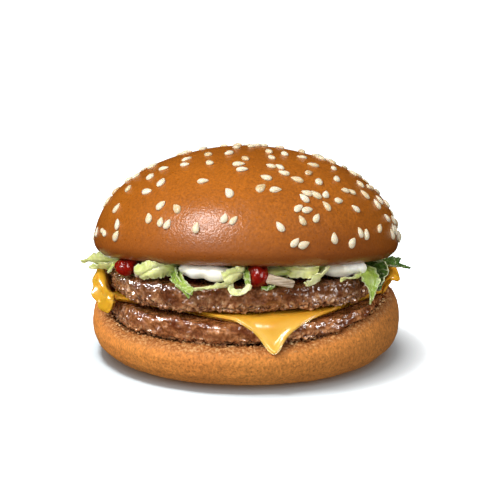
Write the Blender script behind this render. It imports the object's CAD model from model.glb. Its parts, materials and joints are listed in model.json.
"""The looks of the double burger: fine surfaces, materials, light and camera over its CAD frame.

Shapes are in millimetres, and the camera and the lights in metres, all in the frame's axes. The
front faces -Y, and an azimuth is in degrees from the front, towards +X. A piece that replaces a node
repeats its shape from the part's own formulas, or starts from a copy of its solid.
"""

import json
import math
import random

import bpy
import numpy as np
from mathutils import Matrix, Vector, noise
from mathutils.geometry import interpolate_bezier

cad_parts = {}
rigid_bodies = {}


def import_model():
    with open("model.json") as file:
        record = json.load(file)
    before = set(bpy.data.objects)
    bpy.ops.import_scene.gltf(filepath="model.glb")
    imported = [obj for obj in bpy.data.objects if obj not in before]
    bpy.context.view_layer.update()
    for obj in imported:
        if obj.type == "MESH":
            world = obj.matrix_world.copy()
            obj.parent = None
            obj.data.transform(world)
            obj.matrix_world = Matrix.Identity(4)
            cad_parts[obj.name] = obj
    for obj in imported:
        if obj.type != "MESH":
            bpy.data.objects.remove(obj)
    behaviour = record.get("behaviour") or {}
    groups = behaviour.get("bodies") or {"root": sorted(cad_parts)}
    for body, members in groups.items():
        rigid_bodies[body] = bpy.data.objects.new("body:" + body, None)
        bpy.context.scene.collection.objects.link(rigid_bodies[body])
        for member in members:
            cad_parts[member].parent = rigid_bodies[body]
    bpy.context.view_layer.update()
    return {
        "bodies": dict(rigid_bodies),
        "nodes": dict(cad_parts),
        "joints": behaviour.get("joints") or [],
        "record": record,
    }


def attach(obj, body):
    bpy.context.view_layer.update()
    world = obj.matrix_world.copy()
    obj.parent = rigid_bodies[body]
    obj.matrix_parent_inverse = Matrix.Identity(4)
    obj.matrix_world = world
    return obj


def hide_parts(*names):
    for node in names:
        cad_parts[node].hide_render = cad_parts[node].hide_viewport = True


MM = 0.001

# The camera of the photograph.
CAMERA_PLACE = (0.00135, -0.275, 0.0805)
CAMERA_DOWN = 9.9
CAMERA_LENS, CAMERA_SENSOR = 59.69, 36
CAMERA_REACH = (0.01, 20)

# Each light: its place, its target, its width and height, its power, the pieces that it reaches
# and what it gives them: soft light, highlights or both.
LIGHTS = {
    "key": ((-0.34, -0.36, 0.54), (0, 0, 0.03), (0.16, 0.16), 3.0, "burger", "soft light"),
    "front": ((-0.33, -0.59, 0.21), (0, 0, 0.03), (0.4, 0.4), 1.62, "burger", "soft light"),
    "shine": ((-0.342, -0.457, 0.512), (-0.012, -0.045, 0.047), (0.15, 0.15), 3.4, "all", "highlights"),
    "left_glint": ((-0.58, -0.06, 0.26), (0, 0, 0.02), (0.08, 0.08), 5.2, "wet", "highlights"),
    "right_glint": ((0.58, -0.22, 0.28), (0, 0, 0.02), (0.08, 0.08), 2.2, "wet", "highlights"),
    "sheen": ((0.05, -0.48, 0.5), (0, -0.05, 0.02), (0.12, 0.08), 1.5, "smooth", "highlights"),
    "overhead": ((-0.18, 0.0, 0.7), (0, 0, 0), (0.15, 0.15), 6.4, "floor", "soft light"),
    "fill": ((0.45, -0.36, 0.5), (0, 0, 0.03), (0.3, 0.3), 0.72, "upper", "soft light"),
    "low_right": ((0.62, -0.22, 0.12), (0.04, -0.02, 0.025), (0.2, 0.2), 0.9, "filling", "both"),
}
DRY_PIECES = ("bun_top_crust", "bun_bottom_crust", "sesame_seeds", "bread_crumbs")
SKY_TOWARDS, SKY_STRENGTH = (-0.2, -0.5, 0.84), (0.17, 0.79)  # brightest side of the surround
FLOOR_CURVE = ((50, 0), (400, 0), (1500, 0), (2300, 60), (2800, 500), (3000, 1500), (3000, 3000))
FLOOR_TOP, FLOOR_STEPS = 3400, 96

# How finely the pieces are meshed: spacings in millimetres, and counts.
HEEL_SPACING, SAUCE_VOXEL, ONION_VOXEL = 0.55, 0.5, 0.22
HEEL_STEPS, PATTY_STEPS, CROWN_STEPS, CORE_STEPS = 400, 740, 320, 160
CHEESE_POINTS, LEAF_SEGMENTS, LEAF_COLUMNS, SEED_RINGS, SEED_SIDES = 150, 84, 17, 10, 12

# Shapes that repeat the part's own dimensions.
HEEL_DISH_Z, HEEL_CREST, HEEL_SIDE_Z, HEEL_DISH_RADIUS = 11.6, 16.0, 7.5, 42.4
HEEL_WALL_RADIUS = 45.2
HEEL_SIDE = ((46.0, 15.4), (46.7, 15.95), (48.0, 15.9), (49.7, 15.0), (51.0, 12.9), (51.5, 10.0))
HEEL_FOOT = ((51.2, 7.5), (49.9, 4.2), (46.3, 0.9), (41.5, 0.0))
HEEL_RIM_FRONT, HEEL_RIM_LEFT, HEEL_RIM_RIGHT, HEEL_RIM_BACK = 12.8, 18.3, 20.4, 19.0
HEEL_RISE_LEFT, HEEL_RISE_RIGHT = (48, 92), (6, 90)
PATTY_ROUND, PATTY_BULGE = 2.8, 2.2
LOWER_PATTY = {"centre": (0.2, -1.0), "radius": 46.0, "faces": (12.1, 19.6), "slope": 0, "seed": 4}
UPPER_PATTY = {"centre": (-1.0, -1.8), "radius": 44.6, "faces": (21.8, 28.3), "slope": 0.035, "seed": 7}
CHEESE_CENTRE, CHEESE_SIDE, CHEESE_TURN, CHEESE_Z, CHEESE_BEND = (-0.3, -1.0), 84.6, 9.0, 20.7, 43.8
CHEESE_PINCH, CHEESE_SKEW = 0.40, 0.35
CHEESE_DRAWN_IN, CHEESE_FOLD = 2.6, 1.3
CHEESE_DRAPES = {
    0: (9.6, 5.5, ((43.8, 20.7), (45.9, 20.3), (47.5, 18.5), (48.3, 16.3), (49.4, 14.1), (51.2, 11.8))),
    90: (86, 2.0, ((43.8, 20.7), (45.7, 21.7), (46.9, 25.1), (48.4, 26.8), (50.1, 25.2), (51.1, 23.0))),
    180: (189, 4.0, ((43.8, 20.7), (46.6, 20.9), (49.3, 20.6), (51.8, 18.9), (52.9, 16.0), (53.0, 13.2))),
    -90: (-67, 15.0, ((43.8, 20.7), (45.8, 21.5), (47.1, 24.1), (48.0, 24.7), (49.0, 21.2), (49.6, 17.6))),
}
CROWN_X, CROWN_RADIUS, CROWN_DOME, CROWN_WIDE_Z = 0.3, 50.3, 31.6, 35.9
CROWN_EDGE_DROP, CROWN_EDGE_INSET, CROWN_DISH, CROWN_DISH_RADII = 4.6, 5.0, 2.9, (36.0, 45.3)
CROWN_TILT, CROWN_ROLL = math.radians(5.6), math.radians(0.5)
SEED_COUNT, SEED_LENGTH, SEED_WIDTH, SEED_THICKNESS, SEED_LIFT = 120, 3.6, 2.2, 1.35, 0.12
SEED_SPACING, SEED_PAIRS, SEED_RANDOM = 4.3, 0.16, 11
SEED_PAIR_ASIDE, SEED_PAIR_UP = 0.052, 0.02
SEEDS_SHOWN, SEEDS_SHOWN_SPACING = 236, 3.4  # those past the part's own count are added here
FILLING_GAP = 0.45
LETTUCE_LAYER, LETTUCE_CENTRE_Y, LETTUCE_CORE_RADIUS = (1, 0.30, 0.66), -4.0, 39.0
LEAF_RANDOM, LEAF_SHEET = 5, 0.5
CRUMB_TRIES, CRUMB_RANDOM = 430, 23
CRUMB_RADIUS, CRUMB_SPREAD, CRUMB_NEAREST, CRUMB_FARTHEST = 46.9, 0.55, 45.9, 49.5

# Each leaf strip: its start, two handles and end as (azimuth, distance from the axis, height),
# its width, stand, twist and width at the end, then how green it is, from pale 0 to dark 1.
FRONT_LEAVES = {
    "far_left": (
        (-66, 36, 31.4), (-67, 45, 33.4), (-73, 49, 32.4), (-77, 54.4, 31.0), 8.0, 24, 30, 0.15, 0.22
    ),
    "far_left_low": (
        (-64, 36, 31.2), (-65, 45, 31.6), (-70, 49, 30.4), (-74, 52.0, 29.6), 5.0, 30, 10, 0.2, 0.18
    ),
    "left_sprig": (
        (-61, 36, 31.6), (-61, 44, 33.2), (-61, 47.5, 32.6), (-61, 48.6, 29.4), 3.2, 0, 20, 0.5, 0.35
    ),
    "left_curl": (
        (-32, 36, 32.6), (-28, 47.5, 35.4), (-34, 49.3, 34.4), (-39.5, 48.8, 32.2), 6.2, 70, 10, 0.75, 0.20
    ),
    "thin_point": (
        (-31, 36, 32.0), (-29, 48.0, 35.0), (-23, 49.8, 31.4), (-18.8, 48.9, 26.8), 3.2, 30, 60, 0.15, 0.62
    ),
    "vee_left": (
        (-31, 34, 32.2), (-26, 49.6, 34.2), (-20.5, 50.4, 30.2), (-17.2, 49.6, 28.8), 2.6, 10, 40, 0.8, 0.42
    ),
    "under_mayo": (
        (-2, 35, 32.2), (-3, 47.6, 30.6), (-10, 48.8, 30.8), (-17.0, 48.8, 29.4), 2.4, 45, -10, 0.5, 0.16
    ),
    "block": (
        (-1, 35, 32.6), (0, 46.8, 35.8), (-4, 49.2, 33.8), (-7.0, 49.2, 33.0), 4.8, 75, 0, 0.9, 0.08
    ),
    "loop": (
        (-3, 35, 31.8), (-9.0, 50.6, 30.2), (-1.6, 51.2, 26.8), (1.6, 48.6, 31.2), 1.8, 15, 40, 0.9, 0.10
    ),
    "post": (
        (0.0, 35, 32.6), (0.4, 46.5, 36.2), (0.4, 48.2, 33.4), (1.0, 47.8, 30.8), 1.8, 0, 10, 0.8, 0.50
    ),
    "under_ketchup": (
        (13, 35, 31.4), (12.5, 45.5, 30.4), (9.5, 48.0, 29.9), (5.5, 48.4, 30.0), 1.7, 20, 0, 0.6, 0.66
    ),
    "back_fold": (
        (18, 35, 32.6), (14, 47.0, 35.2), (22, 47.6, 34.6), (27, 47.0, 33.8), 5.0, 80, 0, 0.9, 0.12
    ),
    "front_fold": (
        (28, 35, 32.6), (31.5, 48.8, 34.8), (25, 50.4, 32.8), (20.0, 49.8, 31.2), 6.0, 55, -10, 0.75, 0.04
    ),
    "under_mayo_right": (
        (56, 35, 31.0), (54, 46.5, 29.9), (44, 49.2, 30.8), (34, 49.4, 31.2), 2.2, 40, 0, 0.6, 0.20
    ),
    "pointed": (
        (56, 35, 31.6), (50.5, 50.4, 34.4), (48.6, 51.4, 28.6), (47.6, 50.4, 22.0), 6.4, 0, 20, 0.06, 0.46
    ),
    "dark": (
        (64, 35, 31.0), (61, 49.4, 34.4), (57, 51.2, 29.6), (52.0, 50.2, 26.0), 5.0, 30, 55, 0.7, 0.95
    ),
    "right_block": (
        (72, 35, 30.8), (72, 47.0, 32.0), (76, 50.0, 31.2), (80, 51.2, 29.8), 4.2, 35, 30, 0.7, 0.85
    ),
    "right_wisp": (
        (82, 35, 30.4), (82, 48.0, 29.4), (82, 51.0, 29.0), (83, 54.6, 27.6), 2.8, 10, 60, 0.2, 0.80
    ),
}

burger_pieces = []


def smooth(low, high, value):
    """0 below low, 1 above high, and an S-curve between. It takes numbers or arrays."""
    share = np.clip((value - low) / (high - low), 0, 1)
    return share * share * (3 - 2 * share)


def polar(azimuth, radius, z):
    turn = math.radians(azimuth)
    return Vector((radius * math.sin(turn), -radius * math.cos(turn), z))


def azimuths(points):
    return np.degrees(np.arctan2(points[:, 0], -points[:, 1]))


def from_axis(points):
    return np.hypot(points[:, 0], points[:, 1])


def relief(points, size, seed):
    """The part's own smooth noise, from -1 to 1, at each point, in millimetres."""
    shift = Vector((seed, 0.37 * seed, -seed))
    return np.array([noise.noise(Vector(point) / size + shift) for point in points])


def scattered(cells, seed):
    """A repeatable number from 0 to 1 for each whole-numbered cell."""
    x, y, z = (cells[..., axis].astype(np.int64) for axis in range(3))
    mixed = (x * 73856093) ^ (y * 19349663) ^ (z * 83492791) ^ (seed * 2654435761)
    mixed = ((mixed ^ (mixed >> 13)) * 1274126177) & 0x7FFFFFFF
    mixed = ((mixed ^ (mixed >> 15)) * 668265263) & 0x7FFFFFFF
    return ((mixed >> 7) & 0xFFFFF) / 0xFFFFF


def grain(points, size, seed):
    """Soft noise from -1 to 1 whose bumps are about size across, in millimetres."""
    place = points / size + 1000.0
    cell = np.floor(place)
    part = place - cell
    part = part * part * (3 - 2 * part)
    total = np.zeros(len(points))
    for corner in np.ndindex(2, 2, 2):
        weight = np.prod(np.where(corner, part, 1 - part), axis=1)
        total += weight * scattered(cell + corner, seed)
    return 2 * total - 1


def drift(points, size, seed):
    """Soft noise from -1 to 1 in each direction."""
    return np.stack([grain(points, size, seed + axis) for axis in range(3)], axis=1)


def lumps(points, size, seed):
    """Crumbs of about that size: 1 at the middle of each, and 0 in the cracks between them."""
    place = points / size + 1000.0
    cell = np.floor(place)
    nearest = np.full(len(points), 9.0)
    second = np.full(len(points), 9.0)
    for step in np.ndindex(3, 3, 3):
        other = cell + step - 1
        spot = np.stack([scattered(other, seed + axis) for axis in range(3)], axis=1) + other
        away = np.linalg.norm(place - spot, axis=1)
        second = np.minimum(second, np.maximum(nearest, away))
        nearest = np.minimum(nearest, away)
    return smooth(0.0, 0.45, second - nearest)


def make_mesh(name, points, faces):
    """A mesh from points in millimetres."""
    mesh = bpy.data.meshes.new(name)
    mesh.from_pydata((np.asarray(points) * MM).tolist(), [], faces)
    mesh.shade_smooth()
    return mesh


def placed(name, data):
    """A new object in the scene."""
    made = bpy.data.objects.new(name, data)
    bpy.context.scene.collection.objects.link(made)
    return made


def add_piece(name, mesh, material, replaced=()):
    """An object that rides on the burger's body, and may stand for CAD nodes."""
    made = placed(name, mesh)
    mesh.materials.clear()
    mesh.materials.append(material)
    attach(made, "root")
    if replaced:
        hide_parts(*replaced)
    burger_pieces.append(made)


def tag(mesh, **values):
    """Named numbers at each point of the mesh, for its material."""
    for name, own in values.items():
        layer = mesh.attributes.new(name, "FLOAT", "POINT")
        layer.data.foreach_set("value", np.asarray(own, np.float32))


def coordinates(mesh):
    flat = np.empty(len(mesh.vertices) * 3, np.float32)
    mesh.vertices.foreach_get("co", flat)
    return flat.reshape(-1, 3).astype(float) / MM


def normals(mesh):
    flat = np.empty(len(mesh.vertices) * 3, np.float32)
    mesh.vertices.foreach_get("normal", flat)
    return flat.reshape(-1, 3).astype(float)


def push(mesh, amount):
    """Moves each point along its normal by an amount in millimetres."""
    moved = (coordinates(mesh) + normals(mesh) * amount[:, None]) * MM
    mesh.vertices.foreach_set("co", moved.astype(np.float32).ravel())
    mesh.update()


def densified(profile, spacing):
    """The line with a point about every spacing, or four times that inside, its corners eased."""
    line = [np.array(profile[0], float)]
    for start, end in zip(profile, profile[1:]):
        start, end = np.array(start, float), np.array(end, float)
        step = spacing if start[0] > 30 or end[0] > 42 else 4 * spacing
        count = max(1, round(np.linalg.norm(end - start) / step))
        line += [start + (end - start) * (i + 1) / count for i in range(count)]
    line = np.array(line)
    for _ in range(4):
        line[1:-1] = (line[:-2] + 2 * line[1:-1] + line[2:]) / 4
    return line


def turned(profile, steps):
    """Points and faces of a solid of revolution. The profile runs from the axis back to it."""
    rings = np.asarray(profile[1:-1], float)
    turns = np.linspace(0, 2 * math.pi, steps, endpoint=False)
    x = rings[:, :1] * np.sin(turns)
    y = -rings[:, :1] * np.cos(turns)
    z = np.repeat(rings[:, 1:], steps, axis=1)
    points = np.stack([x, y, z], axis=-1).reshape(-1, 3)
    points = np.vstack([points, [0, 0, profile[0][1]], [0, 0, profile[-1][1]]])
    top, bottom = len(points) - 2, len(points) - 1
    faces = []
    for step in range(steps):
        after = (step + 1) % steps
        faces.append((top, step, after))
        for ring in range(len(rings) - 1):
            a, b = ring * steps, (ring + 1) * steps
            faces.append((a + after, a + step, b + step, b + after))
        last = (len(rings) - 1) * steps
        faces.append((last + after, last + step, bottom))
    return points, faces


def srgb(red, green, blue):
    """A colour given from 0 to 255 as it looks on a screen, as a node wants it."""
    linear = [c / 12.92 if c <= 0.04045 else ((c + 0.055) / 1.055) ** 2.4
              for c in (red / 255, green / 255, blue / 255)]
    return (*linear, 1)


class Paint:
    """Builds one procedural material around a Principled shader."""

    def __init__(self, name):
        self.material = bpy.data.materials.new(name)
        self.material.use_nodes = True
        self.tree = self.material.node_tree
        self.shader = self.tree.nodes["Principled BSDF"]
        place = self.tree.nodes.new("ShaderNodeTexCoord")
        self.place = place.outputs["Object"]

    def node(self, kind, **values):
        made = self.tree.nodes.new(kind)
        for name, value in values.items():
            self.put(made.inputs[name.replace("_", " ")], value)
        return made

    def put(self, socket, value):
        if isinstance(value, bpy.types.NodeSocket):
            self.tree.links.new(value, socket)
        else:
            socket.default_value = value

    def set(self, **values):
        for name, value in values.items():
            self.put(self.shader.inputs[name.replace("_", " ")], value)

    def noise(self, size, detail=2.0, stretch=(1, 1, 1)):
        """Noise with features of about that many millimetres, centred on 0.5."""
        scaled = self.node("ShaderNodeMapping", Vector=self.place, Scale=stretch)
        made = self.node("ShaderNodeTexNoise", Vector=scaled.outputs["Vector"], Detail=detail)
        made.inputs["Scale"].default_value = 1000.0 / size
        return made.outputs["Fac"]

    def cells(self, size):
        """How far each point is from the middle of the nearest of many cells of that size."""
        made = self.node("ShaderNodeTexVoronoi", Vector=self.place)
        made.inputs["Scale"].default_value = 1000.0 / size
        return made.outputs["Distance"]

    def value(self, name):
        made = self.tree.nodes.new("ShaderNodeAttribute")
        made.attribute_name = name
        return made.outputs["Fac"]

    def ramp(self, factor, *stops):
        """Colours or greys along a factor. A stop is (place, colour) or (place, number)."""
        made = self.node("ShaderNodeValToRGB", Fac=factor)
        elements = made.color_ramp.elements
        while len(elements) < len(stops):
            elements.new(0.5)
        for element, (place, colour) in zip(elements, stops):
            element.position = place
            element.color = colour if isinstance(colour, tuple) else (colour, colour, colour, 1)
        return made.outputs["Color"]

    def mottle(self, size, detail, low, high, start=0.3, end=0.7):
        """From one colour or number to another, as noise of that size goes from start to end."""
        return self.ramp(self.noise(size, detail), (start, low), (end, high))

    def mix(self, factor, first, second, blend="MIX"):
        made = self.tree.nodes.new("ShaderNodeMix")
        made.data_type = "RGBA"
        made.blend_type = blend
        self.put(made.inputs[0], factor)
        self.put(made.inputs[6], first)
        self.put(made.inputs[7], second)
        return made.outputs[2]

    def times(self, colour, share):
        return self.mix(1.0, colour, share, "MULTIPLY")

    def product(self, first, second):
        """The product of two numbers."""
        made = self.tree.nodes.new("ShaderNodeMath")
        made.operation = "MULTIPLY"
        self.put(made.inputs[0], first)
        self.put(made.inputs[1], second)
        return made.outputs[0]

    def soften(self, weight, radius, depth):
        """Lets light in by about that many millimetres, further for some colours than others."""
        self.set(Subsurface_Weight=weight, Subsurface_Radius=radius, Subsurface_Scale=depth * MM)

    def bumps(self, size, detail, strength, depth):
        self.bump(self.noise(size, detail), strength, depth)

    def bump(self, height, strength, depth):
        """Relief of that many millimetres, on top of what is there."""
        made = self.node("ShaderNodeBump", Strength=strength, Distance=depth * MM, Height=height)
        if self.shader.inputs["Normal"].is_linked:
            self.put(made.inputs["Normal"], self.shader.inputs["Normal"].links[0].from_socket)
        self.put(self.shader.inputs["Normal"], made.outputs["Normal"])


def crust_paint():
    """Baked crust of the crown: satin orange-brown, mottled, with a fine leathery grain."""
    paint = Paint("crown_crust")
    colour = paint.mottle(26, 3, srgb(158, 86, 14), srgb(180, 101, 18))
    colour = paint.times(colour, paint.mottle(0.8, 4, 0.74, 1.2))
    low = paint.ramp(paint.value("height"), (0.0, 1.0), (0.38, 0.0))
    colour = paint.mix(low, colour, srgb(134, 68, 21))
    crumb = paint.mottle(1.1, 4, srgb(196, 140, 84), srgb(232, 190, 138))
    colour = paint.mix(paint.value("under"), colour, crumb)
    paint.set(Base_Color=colour, Roughness=paint.mottle(0.9, 3, 0.27, 0.37), Specular_IOR_Level=0.75)
    paint.bumps(0.55, 2, 1.0, 0.12)
    paint.bumps(1.2, 2, 0.8, 0.1)
    return paint.material


def seed_paint():
    """Toasted sesame: cream, each seed a little different, with a browner point."""
    paint = Paint("sesame")
    colour = paint.ramp(
        paint.value("tone"),
        (0.0, srgb(226, 214, 188)), (0.75, srgb(218, 200, 162)), (1.0, srgb(202, 170, 118)),
    )
    point = paint.ramp(paint.value("tip"), (0.75, 0.0), (1.0, 0.4))
    colour = paint.mix(point, colour, srgb(204, 166, 112))
    colour = paint.mix(paint.mottle(0.8, 2, 0.0, 0.45, 0.35, 0.75), colour, srgb(240, 234, 216))
    paint.set(Base_Color=colour, Roughness=0.27)
    paint.soften(0.3, (1.0, 0.7, 0.4), 0.6)
    paint.bumps(0.5, 2, 0.25, 0.06)
    return paint.material


def heel_paint():
    """The bottom bun: soft orange-brown, porous, toasted darker where its rim meets the beef."""
    paint = Paint("heel_crust")
    colour = paint.mottle(22, 3, srgb(200, 122, 52), srgb(212, 136, 60))
    fine = paint.ramp(paint.noise(0.75, 2, (1, 1, 0.7)), (0.25, 0.66), (0.5, 0.98), (0.72, 1.26))
    pores = paint.ramp(paint.cells(0.9), (0.1, 0.66), (0.34, 1.06))
    colour = paint.times(paint.times(colour, fine), pores)
    toasted = paint.ramp(
        paint.noise(0.8, 3),
        (0.3, srgb(128, 70, 34)), (0.5, srgb(176, 110, 56)), (0.7, srgb(224, 176, 118)),
    )
    colour = paint.mix(paint.value("rim"), colour, toasted)
    inside = paint.mottle(1.2, 4, srgb(140, 80, 40), srgb(200, 140, 84))
    colour = paint.mix(paint.value("cut"), colour, inside)
    paint.set(Base_Color=colour, Roughness=0.62, Specular_IOR_Level=0.3)
    paint.bumps(0.6, 4, 0.9, 0.3)
    paint.bumps(2.4, 2, 0.35, 0.3)
    return paint.material


def crumb_paint():
    """Loose crumbs of bread, from cream to toasted brown."""
    paint = Paint("bread_crumb")
    colour = paint.ramp(
        paint.value("tone"),
        (0.0, srgb(150, 88, 44)), (0.5, srgb(196, 138, 80)), (1.0, srgb(232, 196, 144)),
    )
    paint.set(Base_Color=paint.times(colour, paint.mottle(0.4, 3, 0.8, 1.1)), Roughness=0.75)
    paint.bumps(0.3, 3, 0.6, 0.06)
    return paint.material


def beef_paint(name, share):
    """Seared minced beef: a dark, smooth, greasy sear above, paler crumbs below, wet with fat.

    Its browns are lightened or darkened by the share.
    """

    def brown(*colour):
        return (*(share * part for part in srgb(*colour)[:3]), 1)

    paint = Paint(name)
    crumbs = paint.ramp(
        paint.noise(1.2, 4),
        (0.3, brown(84, 40, 20)), (0.42, brown(146, 90, 54)),
        (0.56, brown(188, 131, 86)), (0.72, brown(234, 192, 146)),
    )
    seared = paint.ramp(
        paint.noise(3.2, 5),
        (0.3, brown(84, 36, 16)), (0.5, brown(119, 68, 35)), (0.72, brown(166, 110, 66)),
    )
    specks = paint.ramp(paint.noise(0.8, 3), (0.3, 0.62), (0.55, 1.05), (0.75, 1.35))
    colour = paint.mix(paint.value("grit"), paint.times(seared, specks), crumbs)
    fat = paint.ramp(paint.noise(1.5, 2, (1, 1, 0.45)), (0.52, 0.0), (0.68, 0.7))
    colour = paint.mix(paint.product(fat, paint.value("left")), colour, srgb(206, 168, 140))
    cracks = paint.ramp(paint.value("crack"), (0.0, 0.9), (0.5, 0.0))
    colour = paint.mix(cracks, colour, srgb(50, 24, 13))
    paint.set(Base_Color=colour, Roughness=paint.mottle(1.6, 3, 0.15, 0.32, 0.35, 0.65))
    paint.set(Specular_IOR_Level=0.6, Coat_Roughness=0.07, Coat_Weight=paint.value("wet"))
    paint.bump(paint.noise(1.9, 1, (0.8, 0.8, 1.25)), 1.0, 0.6)
    paint.bumps(0.8, 1, 0.9, 0.16)
    return paint.material


def cheese_paint():
    """Processed cheese, just melted: glossy deep yellow, paler and brighter at its corners."""
    paint = Paint("melted_cheese")
    colour = paint.mottle(14, 3, srgb(206, 143, 34), srgb(218, 160, 48))
    for where, own in (("edge", (228, 180, 76)), ("right", (252, 178, 40)), ("left", (217, 162, 38))):
        colour = paint.mix(paint.value(where), colour, srgb(*own))
    paint.set(Base_Color=colour, Specular_IOR_Level=0.8, Roughness=paint.mottle(3, 2, 0.16, 0.25))
    paint.soften(0.25, (1.0, 0.55, 0.12), 1.6)
    paint.bumps(6, 2, 0.5, 0.3)
    paint.bumps(1.0, 2, 0.15, 0.04)
    return paint.material


def lettuce_paint():
    """Iceberg lettuce: pale yellow-green inside, greener outside, with veins and light edges."""
    paint = Paint("iceberg")
    colour = paint.ramp(
        paint.value("tone"),
        (0.0, srgb(236, 236, 184)), (0.2, srgb(218, 222, 142)), (0.45, srgb(168, 190, 84)),
        (0.75, srgb(96, 132, 50)), (1.0, srgb(70, 100, 40)),
    )
    colour = paint.times(colour, paint.mottle(2.4, 4, 0.82, 1.12))
    veins = paint.ramp(paint.value("vein"), (0.35, 0.0), (0.9, 0.75))
    colour = paint.mix(veins, colour, srgb(238, 240, 200))
    edges = paint.ramp(paint.value("edge"), (0.8, 0.0), (1.0, 0.5))
    colour = paint.mix(edges, colour, srgb(240, 242, 198))
    paint.set(Base_Color=colour, Specular_IOR_Level=0.5, Roughness=paint.mottle(2, 2, 0.24, 0.42))
    paint.soften(0.25, (0.8, 1.0, 0.3), 0.8)
    paint.bump(paint.value("vein"), 0.5, 0.12)
    paint.bumps(0.9, 3, 0.5, 0.12)
    return paint.material


def mayo_paint():
    """Mayonnaise: glossy ivory white, soft inside."""
    paint = Paint("mayonnaise")
    colour = paint.mottle(5, 2, srgb(236, 233, 214), srgb(250, 248, 238))
    paint.set(Base_Color=colour, Roughness=paint.mottle(3, 2, 0.2, 0.34))
    paint.soften(0.4, (1.0, 0.9, 0.7), 1.0)
    paint.bumps(2.2, 2, 0.2, 0.2)
    return paint.material


def ketchup_paint():
    """Ketchup: deep glossy red, lighter in patches."""
    paint = Paint("ketchup")
    colour = paint.mottle(3, 3, srgb(96, 10, 5), srgb(150, 22, 10), 0.35)
    paint.set(Base_Color=colour, Roughness=paint.mottle(1.2, 2, 0.08, 0.2))
    paint.set(Coat_Weight=0.3, Coat_Roughness=0.05)
    paint.soften(0.15, (1.0, 0.12, 0.05), 1.0)
    paint.bumps(1.2, 3, 0.7, 0.35)
    return paint.material


def onion_paint():
    """Chopped onion: see-through, a little stained, with faint lines along its layers."""
    paint = Paint("onion")
    lines = paint.noise(0.9, 2, (0.25, 0.25, 2.2))
    colour = paint.ramp(lines, (0.35, srgb(158, 136, 112)), (0.65, srgb(206, 190, 168)))
    paint.set(Base_Color=colour, Roughness=paint.mottle(1.5, 2, 0.2, 0.36))
    paint.soften(0.5, (1.0, 0.9, 0.7), 2.0)
    paint.bump(lines, 0.3, 0.12)
    return paint.material


def floor_paint():
    """Pale floor that brightens away from the burger, as a lit sweep does."""
    paint = Paint("studio_floor")
    away = paint.node("ShaderNodeVectorMath", Vector=paint.place)
    away.operation = "LENGTH"
    glow = paint.ramp(away.outputs["Value"], (0.0495, 0.0), (0.0545, 0.35), (0.066, 1.0))
    cool = paint.mottle(400, 1, (0.45, 0.51, 0.54, 1), (0.47, 0.53, 0.56, 1))
    paint.set(Base_Color=cool, Roughness=0.9, Specular_IOR_Level=0.1)
    paint.set(Emission_Color=glow, Emission_Strength=1.0)
    return paint.material


def heel_rim(azimuth):
    """Height of the heel's rim at each azimuth."""
    right = azimuth > 0
    side = np.where(right, HEEL_RIM_RIGHT, HEEL_RIM_LEFT)
    rise = np.where(right, smooth(*HEEL_RISE_RIGHT, abs(azimuth)), smooth(*HEEL_RISE_LEFT, abs(azimuth)))
    height = HEEL_RIM_FRONT + (side - HEEL_RIM_FRONT) * rise
    return height + (HEEL_RIM_BACK - side) * smooth(100, 180, abs(azimuth))


def make_heel():
    """The bottom bun, with its pressed rim, pores and a frayed, toasted edge."""
    profile = [(0, HEEL_DISH_Z), (HEEL_DISH_RADIUS, HEEL_DISH_Z), (HEEL_WALL_RADIUS, HEEL_DISH_Z + 0.6)]
    profile += [*HEEL_SIDE, *HEEL_FOOT, (0, 0)]
    points, faces = turned(densified(profile, HEEL_SPACING), HEEL_STEPS)
    radius = from_axis(points)
    height = points[:, 2].copy()
    rim = heel_rim(azimuths(points))
    lifted = []
    for base in (HEEL_DISH_Z, HEEL_SIDE_Z):
        lifted.append(base + (height - base) * (rim - base) / (HEEL_CREST - base))
    outer = smooth(46.2, 47.2, radius)
    pressed = lifted[0] * (1 - outer) + lifted[1] * outer
    points[:, 2] = np.where((radius > HEEL_DISH_RADIUS + 0.1) & (height > 7.6), pressed, height)
    swell = 1 + np.where((height > 0.5) & (radius > 47), 0.006 * relief(points, 34, 3), 0)
    points[:, :2] *= swell[:, None]
    mesh = make_mesh("heel", points, faces)
    crest = smooth(-2.4, -0.4, points[:, 2] - rim) * smooth(43.5, 45.5, radius)
    foot = smooth(0.0, 1.2, points[:, 2])
    pores = 0.10 * grain(points, 1.1, 1) + 0.07 * grain(points, 0.6, 2) + 0.16 * grain(points, 7, 3)
    frayed = 0.42 * grain(points, 1.0, 4) + 0.25 * grain(points, 0.5, 5)
    push(mesh, foot * (pores + crest * frayed) * smooth(40, 47, radius))
    tag(mesh, rim=0.85 * crest, cut=smooth(46.6, 45.6, radius) * (height > 6))
    add_piece("bun_bottom_crust", mesh, heel_paint(), ["bun_bottom"])


def patty_sag(azimuth):
    return smooth(-0.1, 0.8, -np.cos(np.radians(4 * (azimuth - CHEESE_TURN))))


def patty_profile(radius, bottom, top):
    middle, half = (bottom + top) / 2, (top - bottom) / 2
    inside = np.concatenate([np.linspace(0, 34, 12), np.linspace(34, radius - PATTY_ROUND, 16)[1:-1]])
    line = [(r, top) for r in inside]
    for turn in np.linspace(math.pi / 2, -math.pi / 2, 44):
        out = abs(math.cos(turn)) ** 0.65 * PATTY_ROUND
        up = math.copysign(abs(math.sin(turn)) ** 0.65, math.sin(turn)) * half
        line.append((radius - PATTY_ROUND + out, middle + up))
    return line + [(r, bottom) for r in inside[::-1]]


def patty_side(patty, height):
    """The patty's radius at each height, and how high it reaches at its middle."""
    bottom, top = patty["faces"]
    middle, half = (bottom + top) / 2, (top - bottom) / 2
    up = np.clip(abs(height - middle) / half, 0, 1)
    return patty["radius"] - PATTY_ROUND + PATTY_ROUND * (1 - up**3.08) ** 0.325


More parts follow.
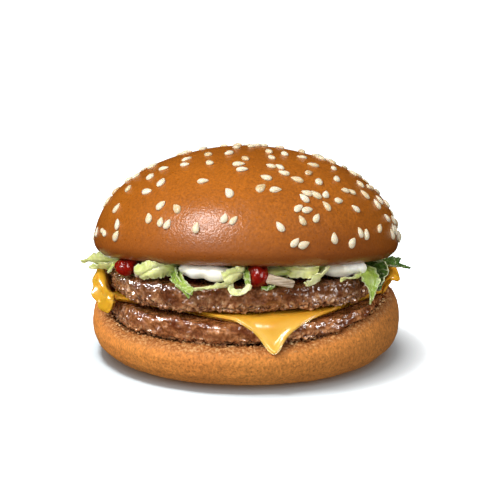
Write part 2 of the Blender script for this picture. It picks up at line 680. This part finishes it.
def clear_of(points, patty, margin):
    """Moves points that are in the patty, or too near it, out of it by the shorter way."""
    bottom, top = patty["faces"]
    centre = np.array(patty["centre"])
    offset = points[:, :2] - centre
    away = np.maximum(from_axis(offset), 0.001)
    top = top - patty["slope"] * points[:, 1]
    side = patty_side(patty, points[:, 2]) + 0.3
    out = side + margin - away
    up, down = top + margin - points[:, 2], points[:, 2] - bottom + margin
    inside = (out > 0) & (up > 0) & (down > 0)
    rises = inside & (up <= out) & (up <= down)
    drops = inside & (down < out) & (down < up)
    moves = inside & ~rises & ~drops
    moved = points.copy()
    moved[rises, 2] += up[rises]
    moved[drops, 2] -= down[drops]
    moved[moves, :2] += offset[moves] / away[moves, None] * out[moves, None]
    return moved


def below_crown(points, margin):
    """Presses points that reach into the crown down to its underside."""
    frame = np.array(crown_frame())
    inner = (points - frame[:3, 3]) @ frame[:3, :3]
    radius = from_axis(inner)
    edge = np.clip((radius - CROWN_RADIUS + CROWN_EDGE_INSET) / CROWN_EDGE_INSET, 0, 1)
    floor = crown_dish(radius) - CROWN_EDGE_DROP * np.sqrt(1 - edge**2) - margin
    pressed = (inner[:, 2] > floor) & (inner[:, 2] < 12) & (radius < CROWN_RADIUS)
    inner[:, 2] = np.where(pressed, floor, inner[:, 2])
    return inner @ frame[:3, :3].T + frame[:3, 3]


def mince(points, seed, grit):
    """How far crumbs, clods and cracks raise the meat, and how much of a crack each point is."""
    warped = points + 0.9 * drift(points, 2.6, seed + 30)
    coarse, small = lumps(warped, 1.9, seed), lumps(warped, 0.95, seed + 1)
    clods = lumps(warped, 4.6, seed + 12)
    split = smooth(0.80, 1.0, 1 - abs(grain(points * (1, 1, 0.6), 5.5, seed + 3)))
    split *= smooth(0.0, 0.5, grain(points, 7, seed + 4))
    rough = 0.32 * grain(points, 6.5, seed + 5) + 0.40 * grain(warped, 2.4, seed + 6) - 0.5 * split
    rough += 0.50 * (clods - 0.8) * (0.35 + 0.65 * smooth(-0.4, 0.4, grain(points, 9, seed + 13)))
    rough += (0.14 + 0.36 * grit) * (coarse - 0.75) + (0.08 + 0.18 * grit) * (small - 0.7)
    rough += (0.05 + 0.07 * grit) * grain(points, 0.5, seed)
    shown = 1 - 0.75 * (1 - grit)
    return rough, 1 - np.maximum(shown * (1 - 0.5 * coarse - 0.5 * small), 0.8 * split)


def bulge_over_rim(points, away, radius):
    """Pushes the lower patty's front out over the heel's rim, and keeps its foot inside the rim."""
    over = smooth(75, 35, abs(azimuths(points))) * smooth(13.2, 14.6, points[:, 2])
    over *= smooth(radius - 5, radius - 1, away)
    points[:, :2] *= 1 + PATTY_BULGE * over[:, None] / np.maximum(away, 1)[:, None]
    held = smooth(1.0, -0.4, points[:, 2] - heel_rim(azimuths(points)))
    reach = from_axis(points)
    squeeze = 1 - held * np.maximum(reach - 46.0, 0) / np.maximum(reach, 1)
    points[:, :2] *= squeeze[:, None]


def make_patty(name, node, patty, paint):
    """A beef patty: the part's disc, with coarse crumbs, strands and cracks pressed into it."""
    (bottom, top), radius, seed = patty["faces"], patty["radius"], patty["seed"]
    middle, half = (bottom + top) / 2, (top - bottom) / 2
    meets = 1 if patty is LOWER_PATTY else -1
    points, faces = turned(patty_profile(radius, bottom, top), PATTY_STEPS)
    away = from_axis(points)
    side = smooth(radius - 9, radius - 2, away)
    lobes = 0.75 * relief(points, 21, seed) + 0.55 * relief(points, 7, seed + 9)
    face = (points[:, 2] - middle) / half
    sag = patty_sag(azimuths(points)) * smooth(0.3, 0.95, meets * face)
    sag *= smooth(radius - 2.8, radius - 1.2, away)
    stretch = 1 + side * (0.9 * lobes - 0.3) / np.maximum(away, 1)
    dent = 0.5 * abs(relief(points, 11, seed + 20)) * smooth(0, 20, away)
    points[:, :2] *= stretch[:, None]
    points[:, 2] += meets * 0.8 * sag - dent * face * (1 - sag)
    points[:, 2] -= np.where(face > 0, patty["slope"] * (points[:, 1] + patty["centre"][1]) * face, 0)
    points[:, :2] += patty["centre"]
    flat = smooth(0.8, 1.0, abs(face)) * (1 - smooth(radius - 3.4, radius - 1.4, away))
    left = smooth(-38, -62, azimuths(points)) * smooth(-150, -115, azimuths(points))
    grit = smooth(0.25, -0.45, face + 0.65 * grain(points, 7, seed + 2) - 0.5 * left) * (1 - flat)
    rough, cracks = mince(points, seed, grit)
    if patty is LOWER_PATTY:
        bulge_over_rim(points, away, radius)
    mesh = make_mesh(name, points, faces)
    push(mesh, rough * (1 - 0.7 * flat) * smooth(0, 12, away))
    wet = np.clip(0.35 + 0.6 * left + 0.8 * grain(points, 6, seed + 8), 0, 1)
    tag(mesh, crack=cracks, grit=grit, left=left, wet=wet)
    add_piece(name, mesh, paint, [node])


def eased(drape):
    """The drape's points as a smooth line, each mapped from its share of the way."""
    knots = np.array(drape, float)
    shares = np.linspace(0, 1, len(knots))
    slopes = np.gradient(knots, shares, axis=0)

    def at(share):
        share = np.clip(share, 0, 1)
        index = np.minimum((share * (len(knots) - 1)).astype(int), len(knots) - 2)
        step = 1 / (len(knots) - 1)
        part = ((share - shares[index]) / step)[:, None]
        first, second = knots[index], knots[index + 1]
        a, b = slopes[index] * step, slopes[index + 1] * step
        square, cube = part**2, part**3
        return (
            (2 * cube - 3 * square + 1) * first + (cube - 2 * square + part) * a
            + (3 * square - 2 * cube) * second + (cube - square) * b
        )

    return at


def cheese_corners(flat):
    """The azimuth of the slice's corner nearest to each point, counted from its front one."""
    corner = 90 * np.round((azimuths(flat) - CHEESE_TURN) / 90)
    return np.where(corner < -90, 180, corner)


def cheese_places(square):
    """Where points of the square slice end up once it has melted over the patty."""
    turn = math.radians(45 + CHEESE_TURN)
    spin = np.array([[math.cos(turn), -math.sin(turn), 0], [math.sin(turn), math.cos(turn), 0], [0, 0, 1]])
    corner = cheese_corners(square @ spin.T)
    places = np.zeros_like(square)
    for which, (pulled_to, rounding, drape) in CHEESE_DRAPES.items():
        here = corner == which
        flat = rounded_corner(square[here], rounding) @ spin.T
        azimuth = azimuths(flat)
        length = np.linalg.norm(flat, axis=1)
        aside = (azimuth - CHEESE_TURN - which + 180) % 360 - 180
        tip = CHEESE_SIDE / math.sqrt(2) - 0.414 * rounding
        past = (length - CHEESE_BEND) / (tip - CHEESE_BEND)
        hung = past > 0
        placed = eased(drape)(past)
        pull = smooth(0, 0.7, past)
        pinch = CHEESE_PINCH if which == 0 else 0
        skew = {-90: CHEESE_SKEW, 90: -CHEESE_SKEW}.get(which, 0)
        shift = (pulled_to - CHEESE_TURN - which) * pull
        angle = np.where(hung, CHEESE_TURN + which + shift + aside * (1 - pinch * pull), azimuth)
        radius = np.where(hung, placed[:, 0], length)
        height = np.where(hung, placed[:, 1] - skew * aside * pull, CHEESE_Z)
        angle = np.radians(angle)
        places[here] = np.stack([radius * np.sin(angle), -radius * np.cos(angle), height], axis=1)
    return places + (*CHEESE_CENTRE, 0)


def rounded_corner(square, rounding):
    """Moves the points near the square's corners so that the corners become round."""
    start = CHEESE_SIDE / 2 - rounding
    share = np.clip((abs(square[:, :2]) - start) / rounding, 0, None)
    u, v = share[:, 0], share[:, 1]
    near = (u > 0) & (v > 0)
    x = start + rounding * u * np.sqrt(np.clip(1 - v * v / 2, 0, 1))
    y = start + rounding * v * np.sqrt(np.clip(1 - u * u / 2, 0, 1))
    moved = square.copy()
    moved[near, 0] = np.copysign(x, square[:, 0])[near]
    moved[near, 1] = np.copysign(y, square[:, 1])[near]
    return moved


def make_cheese():
    """The melted slice, draped over the patties, with soft edges and a thick left corner."""
    count = CHEESE_POINTS
    along = np.linspace(-1, 1, count)
    along = np.sin(along * math.pi / 2) * 0.35 + along * 0.65
    u, v = (side.ravel() for side in np.meshgrid(along, along, indexing="ij"))
    square = np.stack([u, v, 0 * u], axis=1) * CHEESE_SIDE / 2
    edge = (1 - np.maximum(abs(u), abs(v))) * CHEESE_SIDE / 2
    past = smooth(CHEESE_BEND, CHEESE_BEND + 8, np.linalg.norm(square, axis=1))
    square[:, 0] += CHEESE_DRAWN_IN * smooth(0.84, 0.5, abs(v)) * np.maximum(-u, 0) ** 4
    middle = cheese_places(square)
    middle += 0.12 * grain(middle, 9, 60)[:, None] * (0, 0, 1)
    for patty in (LOWER_PATTY, UPPER_PATTY):
        middle = clear_of(middle, patty, 0.7)
    up = sheet_normals(middle, count, count)
    folded = smooth(-34, -43, middle[:, 0]) * past * grain(middle, 4.0, 63)
    middle += CHEESE_FOLD * folded[:, None] * up
    half = 0.65 + 0.35 * past * smooth(3.4, 1.2, edge) + 0.12 * past * grain(middle, 4.5, 61)
    lobe = smooth(-32, -43, middle[:, 0]) * past
    half += lobe * (0.75 + 0.35 * grain(middle, 5, 62))
    half *= np.sqrt(1 - (1 - np.clip(edge / (0.9 + 1.3 * lobe), 0, 1)) ** 2)
    mesh = make_mesh("cheese", *thickened(middle, up, np.maximum(half, 0.02), count, count))
    x = middle[:, 0]
    low = 0.95 * smooth(9, 1, edge) * smooth(-30, -20, x)
    low, left, right = (np.tile(share * past, 2) for share in (low, smooth(-22, -36, x), smooth(28, 42, x)))
    tag(mesh, edge=low, left=left, right=right)
    add_piece("cheese_slice", mesh, cheese_paint(), ["cheese"])


def grid_faces(rows, columns):
    faces = []
    for i in range(rows - 1):
        for j in range(columns - 1):
            a = i * columns + j
            faces.append((a, a + columns, a + columns + 1, a + 1))
    return faces


def rim_faces(rows, columns):
    """Faces that join the edges of two grids of points, one after the other."""
    loop = [(i, 0) for i in range(rows)]
    loop += [(rows - 1, j) for j in range(1, columns)]
    loop += [(i, columns - 1) for i in range(rows - 2, -1, -1)]
    loop += [(0, j) for j in range(columns - 2, 0, -1)]
    ring = [i * columns + j for i, j in loop]
    below = rows * columns
    return [(a, a + below, b + below, b)[::-1] for a, b in zip(ring, ring[1:] + ring[:1])]


def sheet_normals(middle, rows, columns):
    """Which way a grid of points faces, at each of them."""
    sheet = make_mesh("sheet", middle, grid_faces(rows, columns))
    up = normals(sheet)
    bpy.data.meshes.remove(sheet)
    return up


def thickened(middle, up, half, rows, columns):
    """Points and faces of the closed solid that reaches half its thickness to each side of a grid."""
    points = np.vstack([middle + up * half[:, None], middle - up * half[:, None]])
    faces = grid_faces(rows, columns)
    below = [tuple(i + rows * columns for i in face[::-1]) for face in faces]
    return points, faces + below + rim_faces(rows, columns)


def joined(solids):
    """The points and faces of many small solids as those of one mesh."""
    faces, start = [], 0
    for points, own_faces in solids:
        faces += [tuple(i + start for i in face) for face in own_faces]
        start += len(points)
    return np.vstack([points for points, _ in solids]), faces


def crown_frame():
    tip = Matrix.Rotation(-CROWN_TILT, 4, "X") @ Matrix.Rotation(CROWN_ROLL, 4, "Y")
    return Matrix.Translation((CROWN_X, 0, CROWN_WIDE_Z)) @ tip


def crown_dish(radius):
    return CROWN_DISH * (1 - smooth(*CROWN_DISH_RADII, radius))


def underside(x, y):
    """Height of the crown's underside over a point."""
    normal = crown_frame().to_3x3() @ Vector((0, 0, 1))
    depth = CROWN_EDGE_DROP - crown_dish(math.hypot(x, y))
    return CROWN_WIDE_Z - (depth + x * normal.x + y * normal.y) / normal.z


def filling_height(x, y, gaps, share):
    low = UPPER_PATTY["faces"][1] - UPPER_PATTY["slope"] * y + FILLING_GAP
    free = max(0.6, underside(x, y) - 3.4 * FILLING_GAP - low)
    return low + gaps * FILLING_GAP + free * share


def make_crown():
    """The top bun: a smooth dome with faint dimples, and a toasted, porous underside."""
    turns = np.linspace(math.pi / 2, 0, 110)
    profile = [(CROWN_RADIUS * math.cos(t), CROWN_DOME * math.sin(t)) for t in turns]
    for t in np.linspace(0, math.pi / 2, 22)[1:]:
        inset = CROWN_EDGE_INSET * (1 - math.cos(t))
        profile.append((CROWN_RADIUS - inset, -CROWN_EDGE_DROP * math.sin(t)))
    for radius in np.concatenate([np.linspace(45.0, 34, 18), np.linspace(32, 0, 12)]):
        profile.append((radius, crown_dish(radius) - CROWN_EDGE_DROP))
    profile[0] = (0, CROWN_DOME)
    points, faces = turned(profile, CROWN_STEPS)
    mesh = make_mesh("crown", points, faces)
    below = smooth(-0.5, -0.95, points[:, 2] / CROWN_EDGE_DROP)
    wide = 0.28 * grain(points, 17, 7) + 0.10 * grain(points, 6, 8)
    push(mesh, wide + 0.025 * grain(points, 1.3, 9) + below * 0.16 * grain(points, 1.2, 10))
    tag(mesh, height=(points[:, 2] + 5) / 36, under=below * smooth(45.6, 44.4, from_axis(points)))
    frame = crown_frame()
    frame.translation *= MM
    mesh.transform(frame)
    add_piece("bun_top_crust", mesh, crust_paint(), ["bun_top"])


def seed_places():
    """The part's own scatter: directions from the crown's centre, each with a turn and a size."""
    draw = random.Random(SEED_RANDOM)
    places = []
    while len(places) < SEEDS_SHOWN:
        spacing = SEED_SPACING if len(places) < SEED_COUNT else SEEDS_SHOWN_SPACING
        rise = draw.uniform(0.02, 1.0)
        turn = draw.uniform(-math.pi, math.pi)
        level = math.sqrt(1 - rise * rise)
        point = Vector((level * math.sin(turn), -level * math.cos(turn), rise))
        spin = draw.gauss(90, 35) if rise < 0.5 else draw.uniform(0, 180)
        size, chance, pair = draw.uniform(0.88, 1.1), draw.random(), draw.random()
        crowding = 0.42 + 0.5 * smooth(-0.1, 0.8, point.x) + 0.2 * smooth(0.3, 0.9, point.z)
        if chance > crowding or any(seeds_touch(point, other, spacing) for other, _, _ in places):
            continue
        places.append((point, spin, size))
        if pair < SEED_PAIRS:
            aside = point.cross((0, 0, 1)).normalized() * SEED_PAIR_ASIDE + Vector((0, 0, SEED_PAIR_UP))
            places.append(((point + aside).normalized(), spin + 25, 0.95 * size))
    return places


def seeds_touch(one, other, spacing):
    stretch = Vector((CROWN_RADIUS, CROWN_RADIUS, CROWN_DOME))
    return Vector(a * b for a, b in zip(one - other, stretch)).length < spacing


def seed_seat(point, spin, size):
    """Where a seed lies on the crown, in the crown's frame, in millimetres."""
    place = Vector((point.x * CROWN_RADIUS, point.y * CROWN_RADIUS, point.z * CROWN_DOME))
    normal = Vector((point.x / CROWN_RADIUS, point.y / CROWN_RADIUS, point.z / CROWN_DOME)).normalized()
    level = Vector((0, 0, 1)).cross(normal).normalized()
    axes = Matrix((level, normal.cross(level), normal)).transposed().to_4x4()
    turn = Matrix.Rotation(math.radians(spin), 4, "Z")
    return Matrix.Translation(place + normal * SEED_LIFT) @ axes @ turn @ Matrix.Scale(size, 4)


def seed_form():
    """One sesame seed along X: a flattened drop. Its points, faces and how near each is to the tip."""
    across, around = SEED_RINGS, SEED_SIDES
    points, faces = [(1, 0, 0)], []
    for i in range(1, across):
        turn = math.pi * i / across
        along, wide = math.cos(turn), math.sin(turn)
        taper = (1 - 0.30 * along - 0.16 * along * along) * wide
        for j in range(around):
            side = 2 * math.pi * j / around
            points.append((along, taper * math.cos(side), taper * math.sin(side)))
    points.append((-1, 0, 0))
    for j in range(around):
        after = (j + 1) % around
        faces.append((0, 1 + j, 1 + after))
        for i in range(across - 2):
            a, b = 1 + i * around, 1 + (i + 1) * around
            faces.append((a + j, b + j, b + after, a + after))
        last = 1 + (across - 2) * around
        faces.append((last + after, last + j, len(points) - 1))
    points = np.array(points) * (SEED_LENGTH / 2, SEED_WIDTH / 2, SEED_THICKNESS / 2)
    return points, faces, (points[:, 0] / SEED_LENGTH + 0.5)


def make_seeds():
    """Every seed on the crown, each bent, swollen and coloured a little differently."""
    draw = random.Random(SEED_RANDOM + 1)
    form, form_faces, tip = seed_form()
    frame = crown_frame()
    seeds, tones = [], []
    for index, (point, spin, size) in enumerate(seed_places()):
        own = form.copy()
        own[:, 1] += draw.uniform(-0.25, 0.25) * (2 * own[:, 0] / SEED_LENGTH) ** 2
        own[:, 1] *= draw.uniform(0.85, 1.12)
        own[:, 2] *= draw.uniform(0.85, 1.1)
        own += 0.06 * drift(own + 9 * index, 1.2, 0)
        seat = np.array(frame @ seed_seat(point, spin, size))
        seeds.append((own @ seat[:3, :3].T + seat[:3, 3], form_faces))
        tones += [draw.random()] * len(form)
    mesh = make_mesh("seeds", *joined(seeds))
    tag(mesh, tone=tones, tip=np.tile(tip, len(seeds)))
    add_piece("sesame_seeds", mesh, seed_paint(), ["bun_top"])


def remeshed(node, voxel, passes):
    """A smooth, fine copy of a CAD node's solid."""
    made = placed("copy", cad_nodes[node].data.copy())
    fine = made.modifiers.new("Fine", "REMESH")
    fine.mode = "VOXEL"
    fine.voxel_size = voxel * MM
    soft = made.modifiers.new("Soft", "SMOOTH")
    soft.factor, soft.iterations = 0.5, passes
    bpy.context.view_layer.update()
    finished = made.evaluated_get(bpy.context.evaluated_depsgraph_get())
    mesh = bpy.data.meshes.new_from_object(finished)
    bpy.data.objects.remove(made)
    mesh.shade_smooth()
    return mesh


def make_sauces():
    """Mayonnaise and ketchup, which swell where they come out at the burger's side."""
    mayo, ketchup = remeshed("mayo", SAUCE_VOXEL, 8), remeshed("ketchup", SAUCE_VOXEL, 5)
    points = coordinates(mayo)
    out = smooth(38, 43, from_axis(points))
    wobble = (0.35 * out + 0.10) * grain(points, 3.0, 21) + 0.25 * out * grain(points, 6.5, 23)
    push(mayo, wobble + 0.35 * out)
    points = coordinates(ketchup)
    out = smooth(38, 43, from_axis(points))
    wobble = 0.8 * grain(points, 2.6, 22) + 0.4 * grain(points, 1.3, 24)
    push(ketchup, (0.1 + out) * wobble + 0.5 * out)
    add_piece("mayonnaise", mayo, mayo_paint(), ["mayo"])
    add_piece("ketchup_layer", ketchup, ketchup_paint(), ["ketchup"])


def make_onions():
    paint = onion_paint()
    for index in (1, 2, 3):
        mesh = remeshed(f"onion_{index}", ONION_VOXEL, 3)
        push(mesh, 0.05 * grain(coordinates(mesh), 1.2, 30 + index))
        add_piece(f"onion_piece_{index}", mesh, paint, [f"onion_{index}"])


def side_leaves():
    """The part's own leaf strips round the sides and back."""
    draw = random.Random(LEAF_RANDOM)
    leaves = {}
    for index, azimuth in enumerate(range(102, 268, 24)):
        turn = azimuth + draw.uniform(-4, 4)
        inside, edge = polar(turn, 33, 0), polar(turn, 44.6, 0)
        rim = underside(edge.x, edge.y)
        sweep = draw.uniform(-12, 12)
        hang = draw.uniform(2.5, 5.5)
        reach = draw.uniform(50.5, 53.5)
        leaves[f"side_{index}"] = (
            (turn, 33, filling_height(inside.x, inside.y, 1, 0.48)),
            (turn, 44.0, rim - 0.7),
            (turn + 0.5 * sweep, 0.5 * (reach + 46.0), rim - 1.6),
            (turn + sweep, reach, rim - hang),
            draw.uniform(4.5, 7.0),
            draw.uniform(-8, 8),
            draw.uniform(-20, 20),
            draw.uniform(0.2, 0.7),
            (0.1, 0.55, 0.25, 0.8)[index % 4],
        )
    return leaves


def leaf_strip(leaf, index):
    """A thin strip of leaf, cupped, with ruffled, torn edges: its solid, tones, edges and veins."""
    *points, width, stand, twist, tip, tone = leaf
    segments, across = LEAF_SEGMENTS, LEAF_COLUMNS
    knots = [polar(azimuth, radius, z) for azimuth, radius, z in points]
    path = interpolate_bezier(*knots, segments + 1)
    heading = (path[1] - path[0]).normalized()
    side = heading.cross(Vector((0, 0, 1))).normalized()
    side.rotate(Matrix.Rotation(math.radians(stand), 3, heading))
    middle, edges, flat = [], [], []
    for step in range(segments + 1):
        ahead, behind = path[min(step + 1, segments)], path[max(step - 1, 0)]
        heading = (ahead - behind).normalized()
        side = (side - heading * side.dot(heading)).normalized()
        share = step / segments
        sideways = Matrix.Rotation(math.radians(twist * share), 3, heading) @ side
        up = heading.cross(sideways)
        wide = width * (1 - (1 - tip) * smooth(0.45, 1.0, share))
        for j in range(across + 1):
            place = j / across - 0.5
            wave = 0.30 * math.sin(9 * share + 5 * place + width)
            ruffle = 0.32 * (2 * place) ** 2 * math.sin(26 * share + 2.4 * index + 3 * place)
            ruffle += 0.16 * abs(2 * place) ** 3 * math.sin(61 * share + 1.7 * index)
            torn = 1 + 0.10 * math.sin(37 * share + 3 * index + 2 * place) * math.sin(13 * share + place)
            fold = 0.10 * wide * math.exp(-((place - 0.12 * math.sin(5 * share + index)) / 0.07) ** 2)
            cup = 0.16 * wide * (1 - 4 * place * place)
            middle.append(path[step] + sideways * place * wide * torn + up * (cup + wave + ruffle - fold))
            edges.append(abs(2 * place))
            flat.append((20 * share + 7 * index, place * wide, 0.5 * index))
    middle = clear_of(np.array([tuple(p) for p in middle]), UPPER_PATTY, 0.4)
    middle = below_crown(middle, 0.4)
    flat, edges = np.array(flat), np.array(edges)
    branch = flat @ np.array([[0.8, 0.0, 0], [0.55, 1.0, 0], [0, 0, 1]])
    veins = smooth(0.30, 0.0, abs(grain(branch, 1.7, 70))) * (0.5 + 0.5 * grain(flat, 3.0, 71))
    centre = smooth(0.5, 0.0, abs(flat[:, 1] - 0.2 * width)) * smooth(3.0, 4.5, width)
    veins = np.maximum(veins, 0.3 * centre)
    half = LEAF_SHEET / 2 * (1 - 0.5 * edges**4 + 0.45 * veins)
    rows, columns = segments + 1, across + 1
    solid = thickened(middle, sheet_normals(middle, rows, columns), half, rows, columns)
    tones = tone + 0.14 * grain(solid[0], 5, 40 + index) + 0.10 * np.tile(edges, 2) ** 2
    return solid, tones, np.tile(edges, 2), np.tile(veins, 2)


def make_lettuce():
    """The leaf strips that hang out, and the heap's thin middle."""
    leaves = {**FRONT_LEAVES, **side_leaves()}.values()
    strips, tones, edges, veins = zip(*(leaf_strip(leaf, index) for index, leaf in enumerate(leaves)))
    mesh = make_mesh("strips", *joined(strips))
    tones, edges, veins = (np.clip(np.concatenate(all_own), 0, 1) for all_own in (tones, edges, veins))
    tag(mesh, tone=tones, edge=edges, vein=veins)
    paint = lettuce_paint()
    add_piece("lettuce_strips", mesh, paint, ["lettuce"])
    core, core_faces = lettuce_core()
    mesh = make_mesh("core", core, core_faces)
    veins = smooth(0.3, 0.0, abs(grain(core, 3.0, 51)))
    tag(mesh, tone=0.3 + 0.2 * grain(core, 6, 50), edge=np.zeros(len(core)), vein=veins)
    add_piece("lettuce_core", mesh, paint, ["lettuce"])


def crumb_ball():
    """The corners of a ball with 20 sides, and those sides."""
    rise = math.sqrt(0.2)
    corners = [(0, 0, 1)]
    for height, first in ((rise, 0), (-rise, 36)):
        for turn in np.radians(first + 72 * np.arange(5)):
            corners.append((2 * rise * math.cos(turn), 2 * rise * math.sin(turn), height))
    corners.append((0, 0, -1))
    sides = []
    for i in range(5):
        after = (i + 1) % 5
        sides += [(0, 1 + i, 1 + after), (1 + i, 6 + i, 1 + after)]
        sides += [(1 + after, 6 + i, 6 + after), (11, 6 + after, 6 + i)]
    return np.array(corners), sides


def make_crumbs():
    """Bread crumbs along the heel's rim, some fallen on the beef and the heel's side."""
    draw = random.Random(CRUMB_RANDOM)
    ball, sides = crumb_ball()
    crumbs, tones = [], []
    for index in range(CRUMB_TRIES):
        azimuth = draw.uniform(-180, 180)
        radius = draw.gauss(CRUMB_RADIUS, CRUMB_SPREAD)
        if not CRUMB_NEAREST <= radius <= CRUMB_FARTHEST:
            continue
        drop = 0.55 * max(0.0, radius - 47.6) ** 1.3
        size = draw.uniform(0.16, 0.42)
        own = ball * size * (draw.uniform(0.8, 1.3), draw.uniform(0.8, 1.3), draw.uniform(0.6, 1.0))
        own += 0.25 * size * drift(own + 5 * index, 0.3, 0)
        rim = float(heel_rim(np.array([azimuth]))[0])
        crumbs.append((own + tuple(polar(azimuth, radius, rim - drop + 0.1)), sides))
        tones += [draw.random()] * len(ball)
    mesh = make_mesh("crumbs", *joined(crumbs))
    tag(mesh, tone=tones)
    mesh.shade_flat()
    add_piece("bread_crumbs", mesh, crumb_paint())


def lettuce_core():
    """The heap's thin middle, between the layers, ruffled."""
    radii = np.concatenate([np.linspace(0, LETTUCE_CORE_RADIUS - 1, 30), [LETTUCE_CORE_RADIUS]])
    profile = [(r, 1) for r in radii] + [(r, 0) for r in radii[-2::-1]]
    profile[30] = (LETTUCE_CORE_RADIUS, 0.5)
    points, faces = turned(profile, CORE_STEPS)
    gaps, low, high = LETTUCE_LAYER
    for point in points:
        y = point[1] + LETTUCE_CENTRE_Y
        point[:] = (point[0], y, filling_height(point[0], y, gaps, low + (high - low) * point[2]))
    return points, faces


def make_floor():
    """A pale floor that curves up into a wall and closes above, so that no horizon shows."""
    points, faces = turned([(0, 0), *FLOOR_CURVE, (0, FLOOR_TOP)], FLOOR_STEPS)
    floor = placed("studio_floor", make_mesh("floor", points, faces))
    floor.data.materials.append(floor_paint())
    floor.visible_diffuse = False
    floor.visible_glossy = False
    floor.visible_shadow = False
    return floor


def add_light(name, place, target, size, power, gives):
    light = bpy.data.lights.new(name, "AREA")
    light.shape = "RECTANGLE"
    light.size, light.size_y = size
    light.energy = power
    made = placed(name, light)
    made.location = place
    made.rotation_euler = (Vector(target) - Vector(place)).to_track_quat("-Z", "Y").to_euler()
    made.visible_glossy = gives != "soft light"
    made.visible_diffuse = gives != "highlights"
    return made


def make_camera():
    camera = placed("camera", bpy.data.cameras.new("camera"))
    camera.location = CAMERA_PLACE
    camera.rotation_euler = (math.radians(90 - CAMERA_DOWN), 0, 0)
    camera.data.lens = CAMERA_LENS
    camera.data.sensor_width = CAMERA_SENSOR
    camera.data.clip_start, camera.data.clip_end = CAMERA_REACH
    bpy.context.scene.camera = camera


def make_surround():
    """Light from all round, brighter from above and the front. It gives no highlights."""
    world = bpy.data.worlds.new("studio")
    world.use_nodes = True
    tree = world.node_tree
    kinds = ("TexCoord", "VectorMath", "MapRange")
    place, facing, glow = (tree.nodes.new("ShaderNode" + kind) for kind in kinds)
    facing.operation = "DOT_PRODUCT"
    facing.inputs[1].default_value = SKY_TOWARDS
    tree.links.new(place.outputs["Generated"], facing.inputs[0])
    glow.inputs["From Min"].default_value = -1
    glow.inputs["To Min"].default_value, glow.inputs["To Max"].default_value = SKY_STRENGTH
    tree.links.new(facing.outputs["Value"], glow.inputs["Value"])
    tree.links.new(glow.outputs["Result"], tree.nodes["Background"].inputs["Strength"])
    tree.nodes["Background"].inputs["Color"].default_value = (1, 1, 1, 1)
    bpy.context.scene.world = world
    world.cycles_visibility.glossy = False
    bpy.context.scene.view_settings.view_transform = "Standard"


def lit_groups(floor):
    """The pieces that each kind of light reaches. A light for all of them isn't kept to any."""
    filling = [piece for piece in burger_pieces if piece.name not in DRY_PIECES]
    return {
        "burger": burger_pieces,
        "upper": [piece for piece in burger_pieces if piece.name != "bun_bottom_crust"],
        "filling": filling,
        "wet": [piece for piece in filling if "meat" in piece.name or "cheese" in piece.name],
        "smooth": [piece for piece in filling if "meat" not in piece.name],
        "floor": [floor],
    }


def make_lights(groups):
    """Every light, kept to the pieces that it is for."""
    for name, (*form, reach, gives) in LIGHTS.items():
        light = add_light(name, *form, gives)
        if reach != "all":
            lit = bpy.data.collections.new("lit_by_" + name)
            for piece in groups[reach]:
                lit.objects.link(piece)
            light.light_linking.receiver_collection = lit


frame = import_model()
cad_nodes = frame["nodes"]
make_camera()
make_surround()
floor = make_floor()
make_heel()
make_patty("patty_lower_meat", "patty_lower", LOWER_PATTY, beef_paint("seared_beef", 1.28))
make_patty("patty_upper_meat", "patty_upper", UPPER_PATTY, beef_paint("darker_beef", 0.9))
make_cheese()
make_sauces()
make_onions()
make_lettuce()
make_crumbs()
make_crown()
make_seeds()
make_lights(lit_groups(floor))
bpy.context.view_layer.update()
